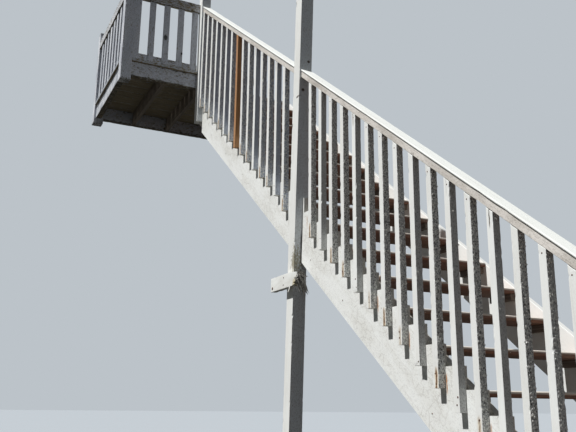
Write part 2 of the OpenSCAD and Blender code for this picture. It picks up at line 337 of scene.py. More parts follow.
# Grey run marks under the seam between the rail's two layers
def seamRuns(tree, field):
    runs = grainNoise(tree, field["place"], "slope", (0.05, 0.05, 0.014), 6, 0.7)
    return addNode(tree, "MapRange", [runs, 0.55, 0.68, 0, 0.75], **softEnds)


# Each pair runs from where the dark corner starts to where it is full
corner = {"foot": (2.415, 2.430), "head": (2.66, 2.56), "offSkirt": (0.010, 0.001)}


# Dark corner where the tall post stands against the skirt: painted shade of the corner, with grime in it
def cornerShadeAndGrime(tree, field):
    y = addNode(tree, "Math", [field["flake"], 0.006, field["Y"]], **timesPlus)
    starts, full = [skirtLow.y - off for off in corner["offSkirt"]]
    deep = addNode(tree, "MapRange", [y, starts, full, 0, 0.85], **softEnds)
    below, above = [addNode(tree, "MapRange", [field["Z"], starts, full], **softEnds)
                    for starts, full in (corner["head"], corner["foot"])]
    return whereAll(tree, deep, below, above)


# Crazed paint: a net of hairlines with cells longer along the board. Real hairlines are 0.2 mm wide and
# are drawn at about 2 mm, very faint, so that they show.
def crazeNet(tree, field):
    bend = addNode(tree, "VectorMath", [(0.05, 0.05, 0.05), field["flake"], field["place"]], **timesPlus)
    cells = addNode(tree, "Mapping", {
        "Vector": bend, "Rotation": grainTurns["slope"], "Scale": (0.062, 0.034, 0.034)}, **realSize)
    net = addNode(tree, "TexVoronoi", {
        "Vector": cells, "Scale": 1}, out="Distance", feature="DISTANCE_TO_EDGE")
    line = addNode(tree, "MapRange", [net, 0.055, 0.015, 0, 0.55], **softEnds)
    some = addNode(tree, "MapRange", [field["cloud"], 0.40, 0.60, 0.1], **softEnds)
    return whereAll(tree, line, some)


# Scuffed, lichen-brown patch on the tall post, over the broken board
scuff = {
    "centre": (-3.440, postLow.y, 2.43), "reach": (0.05, 0.10, 0.15), "speck": (0.008, 0.008, 0.020),
    "bite": -4.5, "off": -1.55, "on": -1.95, "full": 0.8,
}


def postScuff(tree, field):
    specks = grainNoise(tree, field["place"], "x", scuff["speck"], 6, 0.75)
    return raggedPatch(tree, field["place"], specks, scuff)


# The shade colour of each paint is painted shade: with grime on the side that looks down the flight, with
# dust on level tops. Shelter and top say how much of it each takes.
paintBase = {
    "paint": "#f5f6f2", "grime": "#e1e0da", "sheltered": "#cbc9c3", "line": "#cfccc4",
    "crackDark": "#6b6761", "woodDark": "#7d756a", "woodPale": "#b0a89b",
    "cloud": 0.5, "toneSpread": 0.25, "shelter": 1.0, "under": 0.6, "top": 0.95,
    "lines": 0.35, "crack": 0.75, "crackOpen": 0.05, "crackVary": 0.0, "peel": 0.02,
}
balusterStains = [
    (partial(footRust, wide=0.0160, full=0.75), "#e0c89c"),  # the pale halo of the rust
    (footRust, "#653d20"), (headStain, "#4e4338")]
balusterPaint = brushedPaint(
    "house_paint_brushed_on_balusters", paintBase, grain="z", sheltered="#c9cac9",
    crack=1.0, crackVary=0.6, crackDark="#37332f", stains=balusterStains)
# The upper balusters' side that looks down the flight is a cool blue-grey: painted shade of the sky, with
# grime
upperBalusterPaint = brushedPaint(
    "house_paint_brushed_on_upper_balusters", paintBase, grain="z", sheltered="#bcc4d3",
    crack=0.9, crackVary=0.6, crackDark="#3d3f46", stains=balusterStains)
# The posts' side that looks down the flight is a cool grey: painted shade of the sky, with grime
postPaint = brushedPaint(
    "house_paint_brushed_on_posts", paintBase, grain="z", sheltered="#ced4da", shelter=0.9,
    crack=0.4, lines=0.7,
    stains=[(postScuff, "#7c7353"), (cornerShadeAndGrime, "#2f2c28"), (partial(knots, marks=postMarks), "#3f3229")])

# Single long boards, with no change of tone from board to board
boardBase = {**paintBase, "grain": "slope", "toneSpread": 0.0}
skirtPaint = brushedPaint(
    "house_paint_brushed_on_skirt", boardBase, lines=0.55, crack=0.5, crackOpen=0.30, cloud=0.6,
    grime="#dbd9d0", stains=[(crazeNet, "#bdbab2"), (besideRust, "#a9713a")])
stubPaint = brushedPaint(
    "house_paint_brushed_on_broken_board", boardBase, grain="x", peel=0.07, cloud=0.8, grime="#c9c5bb",
    stains=[(tearTint, "#c9bd97"), (tornEnd, "#59554c")])
capPaint = brushedPaint(
    "house_paint_brushed_on_rail_cap", boardBase, paint="#e9ebe6", peel=-0.02, top=0.0,
    lines=0.8, line="#b9b5ac", crack=0.5, crackOpen=0.16, shelter=0.6)
underRailPaint = brushedPaint(
    "thin_paint_brushed_on_under_rail", boardBase, paint="#e6e0d8", grime="#bfb8ae", cloud=1.0, peel=0.06,
    lines=0.9, line="#b5ada3", crack=0.6, crackOpen=0.45, crackDark="#8b8479",
    stains=[(seamRuns, "#a09a90")])
wallStringerPaint = brushedPaint(
    "house_paint_brushed_on_wall_stringer", boardBase, top=0.9, sheltered="#c9c9c6")
# The outer stringer's top and the side that looks down the flight are a dark brown-grey: painted shade from
# the balusters and skirt over them, with dirt
stringerPaint = brushedPaint(
    "worn_paint_brushed_on_outer_stringer", boardBase, paint="#cfcac0", peel=0.12, cloud=1.0, top=1.0,
    sheltered="#89847a", woodDark="#4c443b", woodPale="#82796d")

# The landing's coat is older and rots in from its edges; its cool blue-greys are painted shade of the sky,
# with grime
landingBase = {
    **paintBase, "grain": "y", "shelter": 0.7, "under": 1.0, "cloud": 1.0,
    "crack": 0.7, "crackOpen": 0.3, "crackDark": "#55575d"}
landingPaint = brushedPaint(
    "house_paint_weathered_on_landing", landingBase, grain="z", paint="#e8eaee", grime="#a5aab3",
    sheltered="#c2c7d3", woodDark="#5d5448", woodPale="#9b9180", under=0.6,
    crack=0.75, crackOpen=0.4, crackDark="#5f6168", peel=0.105,
    stains=[(edgeRot, "#5b564c"), (partial(knots, marks=slatMarks), "#1f1d1b")])
landingLevelPaint = brushedPaint(
    "house_paint_weathered_on_level_boards", landingBase, paint="#e1e3e7", grime="#a0a5ad",
    sheltered="#b8bdc9", woodDark="#554b3c", woodPale="#9b8e70", peel=0.13, stains=[(edgeRot, "#4d4940")])
landingRailPaint = brushedPaint(
    "house_paint_peeled_on_landing_rails", landingBase, paint="#dfe1e5", grime="#a3a6aa",
    sheltered="#bfc2ca", woodDark="#5d4f3c", woodPale="#a3977a", peel=0.20, stains=[(edgeRot, "#4d4940")])
floorPaint = brushedPaint(
    "porch_paint_walked_thin_on_floor", landingBase, paint="#b9bec4", grime="#9299a1", sheltered="#b5bac2",
    shelter=1.0, woodDark="#6c614f", woodPale="#9d9178",
    crack=0.3, crackOpen=0.5, crackDark="#6b6a66", peel=0.17, top=0.3)

# Loose flake of the same house paint, with its curled edge catching the light, and small crumbs of it
flakePaint = brushedPaint(
    "house_paint_lifted_flakes", paintBase, grain="z", shelter=0.3, crack=0.1, peel=-0.2)
crumbPaint = brushedPaint(
    "house_paint_cracked_crumbs", paintBase, grain="z", sheltered="#f0efea",
    crack=0.35, cloud=1.0, peel=0.04, toneSpread=0.0)


# Oil stain walked thin on sawn softwood treads. The film is dark red-brown and slightly shiny in the
# middle, dusty at the back, and the rounded nose is pale along its upper edge: worn through to pale wood,
# with a painted highlight where the sun catches it.
def walkedStain(name, look):
    made, tree = startMaterial(name)
    place = addNode(tree, "TexCoord", out="Object")
    grain = grainNoise(tree, place, "y", (0.30, 0.007, 0.007), 5, 0.6, 0.6)
    cloud = grainNoise(tree, place, "y", (0.20, 0.09, 0.09), 6, 0.65)
    grainMask = addNode(tree, "MapRange", [grain, 0.35, 0.68])
    cloudMask = addNode(tree, "MapRange", [cloud, 0.45, 0.75, 0, 0.6])
    # The noses stand one run apart, so the distance to the nearest one finds the worn strip
    x, z = [addNode(tree, "SeparateXYZ", {"Vector": place}, out=axis) for axis in "XZ"]
    toNose = addNode(tree, "Math", [x, stair["run"] / 2], operation="PINGPONG")
    ragged = addNode(tree, "Math", [cloud, -0.02, toNose], **timesPlus)
    wornAndSunlitNose = addNode(tree, "MapRange", [ragged, look["wearWide"], -0.006], **softEnds)
    # Only the nose's upper part is pale: it is walked on and the sun catches it, so the strip is partly a
    # painted highlight
    below = addNode(tree, "Math", [0.002, z], operation="SUBTRACT")
    below = addNode(tree, "Math", [below, stair["rise"]], operation="FLOORED_MODULO")
    below = addNode(tree, "Math", [cloud, 0.008, below], **timesPlus)
    upper = addNode(tree, "MapRange", [below, look["wearDeep"], look["wearDeep"] - 0.005], **softEnds)
    # Spots of white paint that fell from the balustrade
    spotPlace = addNode(tree, "Mapping", {"Vector": place, "Scale": (0.03, 0.03, 0.03)}, **realSize)
    spots = addNode(tree, "TexVoronoi", {"Vector": spotPlace, "Scale": 1, "Randomness": 1}, out="Distance")
    spotMask = addNode(tree, "MapRange", [spots, 0.10, 0.07, 0, 0.8], **softEnds)
    sparse = addNode(tree, "MapRange", [cloud, 0.50, 0.56], **softEnds)
    colour = layCoats(tree, look["dark"], [
        (grainMask, look["red"]), (cloudMask, look["dust"]),
        (whereAll(tree, wornAndSunlitNose, upper), look["worn"]), (whereAll(tree, spotMask, sparse), look["paint"])])
    roughness = addNode(tree, "MapRange", [cloud, 0, 1, 0.45, 0.85])
    closeMaterial(tree, colour, roughness, grain, 0.0007)
    return made


# The worn colour is pale worn wood with a painted highlight of the sun on the nose
treadStain = walkedStain("oil_stain_walked_thin_on_treads", {
    "dark": "#65473a", "red": "#9d7259", "dust": "#9a8777", "worn": "#e0d8cc", "paint": "#e8e4da",
    "wearWide": 0.016, "wearDeep": 0.021})


# Bare softwood: fresh and orange where a piece is new, grey-brown where it has stood for years
def bareTimber(name, look):
    made, tree = startMaterial(name)
    place = addNode(tree, "TexCoord", out="Object")
    grain = grainNoise(tree, place, look["grain"], (0.40, 0.006, 0.006), 5, 0.6, 1.2)
    patches = grainNoise(tree, place, look["grain"], (0.25, 0.08, 0.08), 4, 0.6)
    grainMask = addNode(tree, "MapRange", [grain, 0.35, 0.66])
    patchMask = addNode(tree, "MapRange", [patches, 0.45, 0.7, 0, 0.7])
    colour = layCoats(tree, look["late"], [(grainMask, look["early"]), (patchMask, look["stain"])])
    roughness = addNode(tree, "MapRange", [grain, 0, 1, 0.55, 0.85])
    closeMaterial(tree, colour, roughness, grain, look["relief"])
    return made


newTimber = bareTimber("planed_pine_unpainted", {
    "grain": "z", "late": "#a06c42", "early": "#cd9c6c", "stain": "#a37c57", "relief": 0.0004})
oldTimber = bareTimber("sawn_pine_weathered", {
    "grain": "x", "late": "#594e44", "early": "#94877a", "stain": "#6d665d", "relief": 0.0012})
splinterTimber = bareTimber("torn_pine_fibres", {
    "grain": "z", "late": "#423f3b", "early": "#cbc7bf", "stain": "#5d5a55", "relief": 0.0008})


# Mild steel nails, hammered flush and rusted: brown crust over dull metal
def rustedNail(name, look):
    made, tree = startMaterial(name)
    place = addNode(tree, "TexCoord", out="Object")
    crust = grainNoise(tree, place, "x", (0.003, 0.003, 0.003), 5, 0.7)
    mask = addNode(tree, "MapRange", [crust, 0.4, 0.6])
    colour = layCoats(tree, look["dark"], [(mask, look["rust"])])
    metal = addNode(tree, "MapRange", [mask, 0, 1, 1.0, 0.0])
    closeMaterial(tree, colour, 0.75, crust, 0.0003, metallic=metal)
    return made


nailSteel = rustedNail("mild_steel_rusted", {"dark": "#33251d", "rust": "#70452a"})
print("stage: materials made")


boardRules = {
    "weld": 0.00002,  # closer points are one
    "flat": math.radians(0.5),  # faces that turn less are one
    "arris": math.radians(25),  # edges that turn more are eased
    "swell": 0.35,  # the size of a face's high and low places, in metres
}


# Breaks a node's mesh into its separate boards, each as its own clean bmesh
def boardsOf(nodeName):
    whole = bmesh.new()
    whole.from_mesh(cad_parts[nodeName].data)
    bmesh.ops.remove_doubles(whole, verts=whole.verts, dist=boardRules["weld"])
    bmesh.ops.dissolve_limit(whole, angle_limit=boardRules["flat"], verts=whole.verts, edges=whole.edges)
    whole.faces.ensure_lookup_table()
    left = set(whole.faces)
    boards = []
    while left:
        start = min(left, key=lambda face: face.index)
        group, queue = {start}, [start]
        while queue:
            for edge in queue.pop().edges:
                for face in edge.link_faces:
                    if face not in group:
                        group.add(face)
                        queue.append(face)
        left -= group
        board = bmesh.new()
        twins = {}
        for face in sorted(group, key=lambda face: face.index):
            for vert in face.verts:
                if vert not in twins:
                    twins[vert] = board.verts.new(vert.co)
            board.faces.new([twins[vert] for vert in face.verts])
        boards.append(board)
    whole.free()
    return boards


def cutAcross(board, way, here):
    geom = list(board.verts) + list(board.edges) + list(board.faces)
    bmesh.ops.bisect_plane(board, geom=geom, dist=0.00001, plane_co=way * here, plane_no=way)


# A board as it is after years outside: edges eased, faces a little uneven, arrises knocked off in places
def wearBoard(board, look, seed):
    rng = random.Random(seed)
    along = look["along"]
    places = [vert.co.dot(along) for vert in board.verts]
    low, high = min(places), max(places)
    cuts = max(1, int((high - low) / look["station"]))
    for k in range(1, cuts):
        cutAcross(board, along, low + (high - low) * k / cuts)
    # Two cuts beside the arrises keep a chip from creasing the whole face
    for across, inset in look.get("strips", ()):
        sides = [vert.co.dot(across) for vert in board.verts]
        for here in (min(sides) + inset, max(sides) - inset):
            cutAcross(board, across, here)
    sharp = [edge for edge in board.edges if len(edge.link_faces) == 2
             and edge.is_convex and edge.calc_face_angle() > boardRules["arris"]]
    bmesh.ops.bevel(board, geom=sharp, offset=look["edge"], offset_type="OFFSET", segments=2,
                    profile=0.5, affect="EDGES", clamp_overlap=True)
    board.normal_update()
    shift = Vector((rng.uniform(-50, 50), rng.uniform(-50, 50), rng.uniform(-50, 50)))
    bow = rng.uniform(-1, 1) * look.get("bow", 0)
    lean = rng.uniform(-1, 1) * look.get("lean", 0)
    moves = []
    for vert in board.verts:
        broad = 0.5 + 0.5 * noise.noise((vert.co + shift) / boardRules["swell"])
        onArris = any(face.normal.dot(vert.normal) < 0.995 for face in vert.link_faces)
        bite = noise.noise((vert.co + shift) / look["chipSize"]) - look["chipFrom"]
        chip = max(0.0, bite) if onArris else 0.0
        moves.append(vert.normal * -(look["wear"] * broad + look["chip"] * chip))
    for vert, move in zip(board.verts, moves):
        share = (vert.co.dot(along) - low) / (high - low)
        vert.co += move
        vert.co.x += bow * math.sin(math.pi * share) + lean * (share - 0.5)
    return rng.random()


# Turns a CAD node into worn boards, with the attributes that the paint reads
def dressNode(nodeName, look, material):
    joined = bmesh.new()
    layers = [joined.verts.layers.float.new(label) for label in boardMarks]
    for k, board in enumerate(boardsOf(nodeName)):
        tone = wearBoard(board, look, "%s %d %d" % (nodeName, k, look["seed"]))
        foot = min(vert.co.z for vert in board.verts)
        head = max(vert.co.z for vert in board.verts)
        middle = sum(vert.co.x for vert in board.verts) / len(board.verts)
        twins = {}
        for vert in board.verts:
            twins[vert] = joined.verts.new(vert.co)
            for layer, value in zip(layers, (tone, vert.co.z - foot, vert.co.x - middle, head - vert.co.z)):
                twins[vert][layer] = value
        for face in board.faces:
            joined.faces.new([twins[vert] for vert in face.verts])
        board.free()
    mesh = bpy.data.meshes.new(nodeName + "_worn")
    joined.to_mesh(mesh)
    joined.free()
    mesh.materials.append(material)
    piece = addObject(nodeName + "_worn", mesh)
    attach(piece, "root")
    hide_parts(nodeName)
    return piece


timberWear = {
    "along": alongY,
    "station": 0.06,  # from one cut to the next
    "edge": 0.0025,
    "wear": 0.001,
    "chip": 0.006,  # how deep an arris is knocked
    "chipSize": 0.035,
    "chipFrom": 0.2,  # higher leaves fewer chips
}
balusterWear = {
    **timberWear, "along": alongZ, "station": 0.014, "strips": ((alongX, 0.008), (alongY, 0.008)),
    "edge": 0.0024, "chip": 0.009, "chipSize": 0.02, "chipFrom": 0.32,
    "bow": 0.0025, "lean": 0.003, "seed": 11,
}
dressed = {name: dressNode(name, balusterWear, paint) for name, paint in (
    ("lower_balusters", balusterPaint), ("upper_balusters", upperBalusterPaint))}
dressNode("replacement_baluster", {**balusterWear, "chip": 0.0, "edge": 0.0015}, newTimber)

slopeWear = {
    **timberWear, "along": alongSlope, "station": 0.10,
    "edge": 0.003, "wear": 0.0005, "chipFrom": 0.30, "seed": 5,
}
dressNode("stepped_skirt", slopeWear, skirtPaint)
dressNode("outer_stringer", slopeWear, stringerPaint)
dressNode("wall_stringer", slopeWear, wallStringerPaint)

railWear = {**slopeWear, "station": 0.06, "edge": 0.006, "chip": 0.007}
for name in ("lower_rail_cap", "upper_rail_cap"):
    dressNode(name, railWear, capPaint)
for name in ("lower_sub_rail", "upper_sub_rail"):
    dressNode(name, {**railWear, "edge": 0.0025, "wear": 0.002}, underRailPaint)

postWear = {
    **timberWear, "along": alongZ, "station": 0.014, "strips": ((alongX, 0.012), (alongY, 0.012)),
    "edge": 0.003, "wear": 0.0008, "chip": 0.014, "chipSize": 0.022, "chipFrom": 0.32, "seed": 23,
}
# The tall post leans down the flight, so its cuts lean with it
postLean = math.atan2(postHigh.x - postLow.x - stair["postSide"], postHigh.z - postLow.z)
acrossPost = Vector((math.cos(postLean), 0, -math.sin(postLean)))
leaningWear = {**postWear, "strips": ((acrossPost, 0.012), (alongY, 0.012))}
dressNode("mid_post", leaningWear, postPaint)
for name in ("foot_newel", "top_newel"):
    dressNode(name, postWear, postPaint)
stubWear = {
    **timberWear, "along": alongX, "station": 0.02,
    "edge": 0.002, "chip": 0.008, "chipSize": 0.02, "seed": 31,
}
stub = dressNode("post_stub", stubWear, stubPaint)

treadWear = {**timberWear, "edge": 0.0045, "wear": 0.0015, "seed": 41}
for k in range(1, stair["treads"] + 1):
    dressNode("tread_%02d" % k, treadWear, treadStain)
cleatWear = {**timberWear, "along": alongX, "station": 0.10, "edge": 0.002, "chip": 0.0, "seed": 43}
dressNode("tread_cleats", cleatWear, oldTimber)

levelWear = {
    **timberWear, "station": 0.03,
    "wear": 0.0012, "chip": 0.010, "chipSize": 0.03, "chipFrom": 0.25, "seed": 53,
}
dressNode("landing_deck", levelWear, floorPaint)
for name in ("landing_rims", "landing_fascia"):
    dressNode(name, levelWear, landingLevelPaint)
dressNode("landing_rails", levelWear, landingRailPaint)
for name in ("landing_joists", "wall_ledger"):
    dressNode(name, {**levelWear, "along": alongX}, oldTimber)
for name in ("landing_posts", "landing_balusters"):
    dressNode(name, postWear, landingPaint)
print("stage: timber dressed")

nailing = {
    "jitter": 0.003,
    "footUnder": 0.094,  # a baluster's foot under its own step
    "footRows": (0.028, 0.068),
    "footAside": 0.003,  # down the flight from the baluster's middle
    "footStray": (0.005, 0.009),
    "footSizes": (0.7, 1.1),
    "footKept": 0.75,  # the others are filled and painted over
    "headKept": 0.6,
    "headSize": 0.8,
    "headDrop": 0.085,  # under the cap's top
    "capDeep": 0.014,
    "treadInset": (0.06, 0.019),
    "skirtPairs": 14,
    "skirtFirst": 0.25,
    "skirtPitch": 0.39,
    "skirtRows": (0.10, 0.31),
    "skirtKept": 0.5,
    "stubNails": ((0.19, 0.022, 1.2), (0.19, 0.066, 1.2), (0.028, 0.024, 2.3)),  # along, up, size
    "fasciaPairs": 4,
    "fasciaFirst": 0.25,
    "fasciaPitch": 0.16,
    "fasciaInset": 0.03,
    "fasciaThick": 0.019,
}


# Every nail as a place, the way its head looks and its size
def nailPlaces():
    rng = random.Random(61)
    places = []

    def drive(spot, aim, size=1.0):
        moved = [at + rng.uniform(-nailing["jitter"], nailing["jitter"]) * (1 - abs(looks))
                 for at, looks in zip(spot, aim)]
        places.append((Vector(moved), Vector(aim), size))

    outward = (0, -1, 0)
    strayX, strayZ = nailing["footStray"]
    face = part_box("lower_balusters")[0].y
    for n in range(2 * (stair["treads"] - 1)):
        lower = n < stair["lowerCount"]
        if not lower and n < stair["lowerCount"] + stair["postPlaces"]:
            continue
        x = -stair["firstBaluster"] - n * stair["run"] / 2 + stair["balusterSide"] / 2
        foot = stair["rise"] + n * stair["rise"] / 2 - nailing["footUnder"]
        for up in nailing["footRows"]:
            aside = nailing["footAside"] + rng.uniform(-strayX, strayX)
            sunk = rng.uniform(-strayZ, strayZ)
            if rng.random() < nailing["footKept"]:
                drive((x + aside, face, foot + up + sunk), outward, rng.uniform(*nailing["footSizes"]))
        low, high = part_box("lower_rail_cap" if lower else "upper_rail_cap")
        share = (x - low.x) / (high.x - low.x)
        capTop = high.z + (low.z + nailing["capDeep"] - high.z) * share
        if rng.random() < nailing["headKept"]:
            drive((x, face, capTop - nailing["headDrop"]), outward, nailing["headSize"])
    insetX, insetY = nailing["treadInset"]
    for k in range(1, stair["treads"] + 1):
        low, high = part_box("tread_%02d" % k)
        for y in (low.y + insetY, high.y - insetY):
            for x in (low.x + insetX, high.x - insetX):
                drive((x, y, high.z), (0, 0, 1))
    for k in range(nailing["skirtPairs"]):
        x = skirtHigh.x - nailing["skirtFirst"] - k * nailing["skirtPitch"]
        line = stair["rise"] - math.tan(slope) * x
        for drop in nailing["skirtRows"]:
            if rng.random() < nailing["skirtKept"]:
                drive((x, skirtLow.y, line - drop), outward)
    for along, up, size in nailing["stubNails"]:
        drive((stubLow.x + along, stubLow.y, stubLow.z + up), outward, size)
    low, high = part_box("landing_fascia")
    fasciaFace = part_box("landing_rims")[1].x + nailing["fasciaThick"]
    for k in range(nailing["fasciaPairs"]):
        y = low.y + nailing["fasciaFirst"] + k * nailing["fasciaPitch"]
        for z in (low.z + nailing["fasciaInset"], high.z - nailing["fasciaInset"]):
            drive((fasciaFace, y, z), (1, 0, 0))
    return places


# Starts a Geometry Nodes tree and its named inputs, each with the kind of its socket
def startTree(name, kinds):
    tree = bpy.data.node_groups.new(name, "GeometryNodeTree")
    for label, kind in {"Geometry": "Geometry", **kinds, "Material": "Material"}.items():
        tree.interface.new_socket(label, in_out="INPUT", socket_type="NodeSocket" + kind)
    tree.interface.new_socket("Geometry", in_out="OUTPUT", socket_type="NodeSocketGeometry")
    return tree, tree.nodes.new("NodeGroupInput").outputs


# Ends a tree with one copy of a shape on every point, made real and given its material
def closeTree(tree, given, points, shape, turn, size):
    many = addNode(tree, "GeometryNodeInstanceOnPoints", {
        "Points": points, "Instance": shape, "Rotation": turn, "Scale": size})
    real = addNode(tree, "GeometryNodeRealizeInstances", {"Geometry": many})
    done = addNode(tree, "GeometryNodeSetMaterial", {"Geometry": real, "Material": given["Material"]})
    addNode(tree, "NodeGroupOutput", {"Geometry": done})
    return tree


# True on the faces that look down the flight
def looksDownFlight(tree, least):
    normal = addNode(tree, "GeometryNodeInputNormal")
    facing = addNode(tree, "SeparateXYZ", {"Vector": normal}, out="X")
    return addNode(tree, "FunctionNodeCompare", [facing, least], **moreThan)


# Ends a tree with chips of paint scattered on the chosen faces, each turned by its own random angles
def layChips(tree, given, chosen, chip, spin, size):
    points = addNode(tree, "GeometryNodeDistributePointsOnFaces", {
        "Mesh": given["Geometry"], "Selection": chosen, "Density": given["Density"],
        "Seed": given["Seed"]}, out="Points")
    turned = addNode(tree, "FunctionNodeRotateRotation", {
        "Rotation": points.node.outputs["Rotation"],
        "Rotate By": addNode(tree, "FunctionNodeEulerToRotation", {"Euler": spin})}, rotation_space="LOCAL")
    return closeTree(tree, given, points, chip, turned, size)


# Geometry Nodes: a shallow domed head on every point, turned to look along the point's aim
def nailHeadTree():
    tree, given = startTree("nailHeads", {"Head radius": "Float", "Head height": "Float"})
    head = addNode(tree, "GeometryNodeMeshCone", {
        "Vertices": 10, "Radius Top": given["Head height"], "Radius Bottom": given["Head radius"],
        "Depth": given["Head height"]}, out="Mesh")
    points = addNode(tree, "GeometryNodeMeshToPoints", {"Mesh": given["Geometry"]})
    aim = addNode(tree, "GeometryNodeInputNamedAttribute", {"Name": "aim"}, data_type="FLOAT_VECTOR")
    size = addNode(tree, "GeometryNodeInputNamedAttribute", {"Name": "size"}, data_type="FLOAT")
    turn = addNode(tree, "FunctionNodeAlignRotationToVector", {"Vector": aim}, axis="Z")
    return closeTree(tree, given, points, head, turn, size)


# Geometry Nodes: curled flakes of paint scattered on the faces that look down the flight
def flakeTree():
    tree, given = startTree("paintFlakes", {
        "Density": "Float", "Length": "Float", "Width": "Float", "Thickness": "Float", "Curl": "Float",
        "Clearance": "Float", "Seed": "Int"})
    extent = addNode(tree, "CombineXYZ", {
        "X": given["Length"], "Y": given["Width"], "Z": given["Thickness"]})
    sheet = addNode(tree, "GeometryNodeMeshCube", {"Size": extent, "Vertices X": 4}, out="Mesh")
    # The ends of each flake lift off the wood as the square of their distance from its middle
    place = addNode(tree, "GeometryNodeInputPosition")
    x = addNode(tree, "SeparateXYZ", {"Vector": place}, out="X")
    square = addNode(tree, "Math", [x, x], operation="MULTIPLY")
    lift = addNode(tree, "Math", [square, given["Curl"], given["Clearance"]], **timesPlus)
    curl = addNode(tree, "CombineXYZ", {"Z": lift})
    curled = addNode(tree, "GeometryNodeSetPosition", {"Geometry": sheet, "Offset": curl})
    spin = addNode(tree, "FunctionNodeRandomValue", {
        "Min": (0, 0, -0.7), "Max": (0, 0, 0.7), "Seed": 3}, **randomVector)
    size = addNode(tree, "FunctionNodeRandomValue", {2: 0.45, 3: 1.3, "Seed": 5}, out=1, data_type="FLOAT")
    return layChips(tree, given, looksDownFlight(tree, 0.8), curled, spin, size)


# Geometry Nodes: crumbs of cracked paint standing on the faces that look down the flight. A baluster's
# tone attribute, the same over the whole board, decides whether its coat has cracked.
def crumbTree():
    tree, given = startTree("paintCrumbs", {
        "Density": "Float", "Radius": "Float", "Taper": "Float", "Thickness": "Float",
        "Cracked From": "Float", "Seed": "Int"})
    tone = addNode(tree, "GeometryNodeInputNamedAttribute", {"Name": "tone"}, data_type="FLOAT")
    cracked = addNode(tree, "FunctionNodeCompare", [tone, given["Cracked From"]], **moreThan)
    chosen = addNode(tree, "FunctionNodeBooleanMath", [
        looksDownFlight(tree, 0.95), cracked], operation="AND")
    edge = addNode(tree, "Math", [given["Radius"], given["Taper"]], operation="MULTIPLY")
    crumb = addNode(tree, "GeometryNodeMeshCone", {
        "Vertices": 5, "Radius Top": edge, "Radius Bottom": given["Radius"],
        "Depth": given["Thickness"]}, out="Mesh")
    spin = addNode(tree, "FunctionNodeRandomValue", {
        "Min": (-0.12, -0.12, -3.1), "Max": (0.12, 0.12, 3.1), "Seed": 13}, **randomVector)
    size = addNode(tree, "FunctionNodeRandomValue", {
        "Min": (0.4, 0.4, 0.5), "Max": (1.2, 1.5, 1.6), "Seed": 15}, **randomVector)
    return layChips(tree, given, chosen, crumb, spin, size)


# Geometry Nodes: splinters on the broken board's end, flat four-sided shards that point along an aim
def splinterTree():
    tree, given = startTree("tornSplinters", {
        "From X": "Float", "Density": "Float", "Length": "Float", "Radius": "Float", "Tip": "Float",
        "Wobble": "Vector", "Stray": "Float", "Aim": "Vector", "Seed": "Int"})
    place = addNode(tree, "GeometryNodeInputPosition")
    x = addNode(tree, "SeparateXYZ", {"Vector": place}, out="X")
    chosen = addNode(tree, "FunctionNodeCompare", [x, given["From X"]], **moreThan)
    points = addNode(tree, "GeometryNodeDistributePointsOnFaces", {
        "Mesh": given["Geometry"], "Selection": chosen, "Density": given["Density"],
        "Seed": given["Seed"]}, out="Points")
    shard = addNode(tree, "GeometryNodeMeshCone", {
        "Vertices": 4, "Side Segments": 5, "Radius Top": given["Tip"], "Radius Bottom": given["Radius"],
        "Depth": given["Length"]}, out="Mesh")
    # Each shard's own wobble comes from a noise over its length
    wobble = addNode(tree, "TexNoise", {"Scale": 30.0, "Detail": 3}, out="Color")
    wobble = addNode(tree, "VectorMath", [wobble, (0.5, 0.5, 0.5)], operation="SUBTRACT")
    wobble = addNode(tree, "VectorMath", [wobble, given["Wobble"]], operation="MULTIPLY")
    shard = addNode(tree, "GeometryNodeSetPosition", {"Geometry": shard, "Offset": wobble})
    stray = addNode(tree, "FunctionNodeRandomValue", {
        "Min": (-1, -1, -1), "Max": (1, 1, 1), "Seed": 7}, **randomVector)
    aim = addNode(tree, "VectorMath", [stray, given["Stray"], given["Aim"]], **timesPlus)
    turn = addNode(tree, "FunctionNodeAlignRotationToVector", {"Vector": aim}, axis="Z")
    size = addNode(tree, "FunctionNodeRandomValue", {
        "Min": (0.3, 0.6, 0.25), "Max": (0.7, 1.8, 1.0), "Seed": 9}, **randomVector)
    return closeTree(tree, given, points, shard, turn, size)


# Sets a tree's named inputs by their identifiers and turns the result into a plain mesh object
def growPiece(name, seedObject, tree, values):
    modifier = seedObject.modifiers.new("grow", "NODES")
    modifier.node_group = tree
    sockets = {item.name: item.identifier for item in tree.interface.items_tree
               if item.item_type == "SOCKET" and item.in_out == "INPUT"}
    for key, value in values.items():
        modifier[sockets[key]] = value
    bpy.context.view_layer.update()
    grown = bpy.data.meshes.new_from_object(seedObject.evaluated_get(bpy.context.evaluated_depsgraph_get()))
    seedObject.modifiers.remove(modifier)
    return addObject(name, grown)


def seedPoints(name, places):
    mesh = bpy.data.meshes.new(name)
    mesh.from_pydata([place for place, aim, size in places], [], [])
    mesh.attributes.new("aim", "FLOAT_VECTOR", "POINT")
    mesh.attributes.new("size", "FLOAT", "POINT")
    for k, (place, aim, size) in enumerate(places):
        mesh.attributes["aim"].data[k].vector = aim
        mesh.attributes["size"].data[k].value = size
    return addObject(name, mesh)


nailLook = {"Head radius": 0.0042, "Head height": 0.0014, "Material": nailSteel}
seeds = seedPoints("nail_seeds", nailPlaces())
nails = growPiece("nail_heads", seeds, nailHeadTree(), nailLook)
bpy.data.objects.remove(seeds)
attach(nails, "root")

crumbLook = {
    "Density": 10500.0, "Radius": 0.0044, "Taper": 0.65, "Thickness": 0.0009,
    "Cracked From": 0.45, "Seed": 5, "Material": crumbPaint,
}
flakeLook = {
    "Density": 300.0, "Length": 0.008, "Width": 0.005, "Thickness": 0.0003,
    "Curl": 110.0, "Clearance": 0.0004, "Seed": 0, "Material": flakePaint,
}
for chips, tree, look in (("crumbs_on_", crumbTree(), crumbLook), ("flakes_on_", flakeTree(), flakeLook)):
    for k, (name, balusters) in enumerate(dressed.items()):
        piece = growPiece(chips + name, balusters, tree, {**look, "Seed": look["Seed"] + k})
        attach(piece, "root")

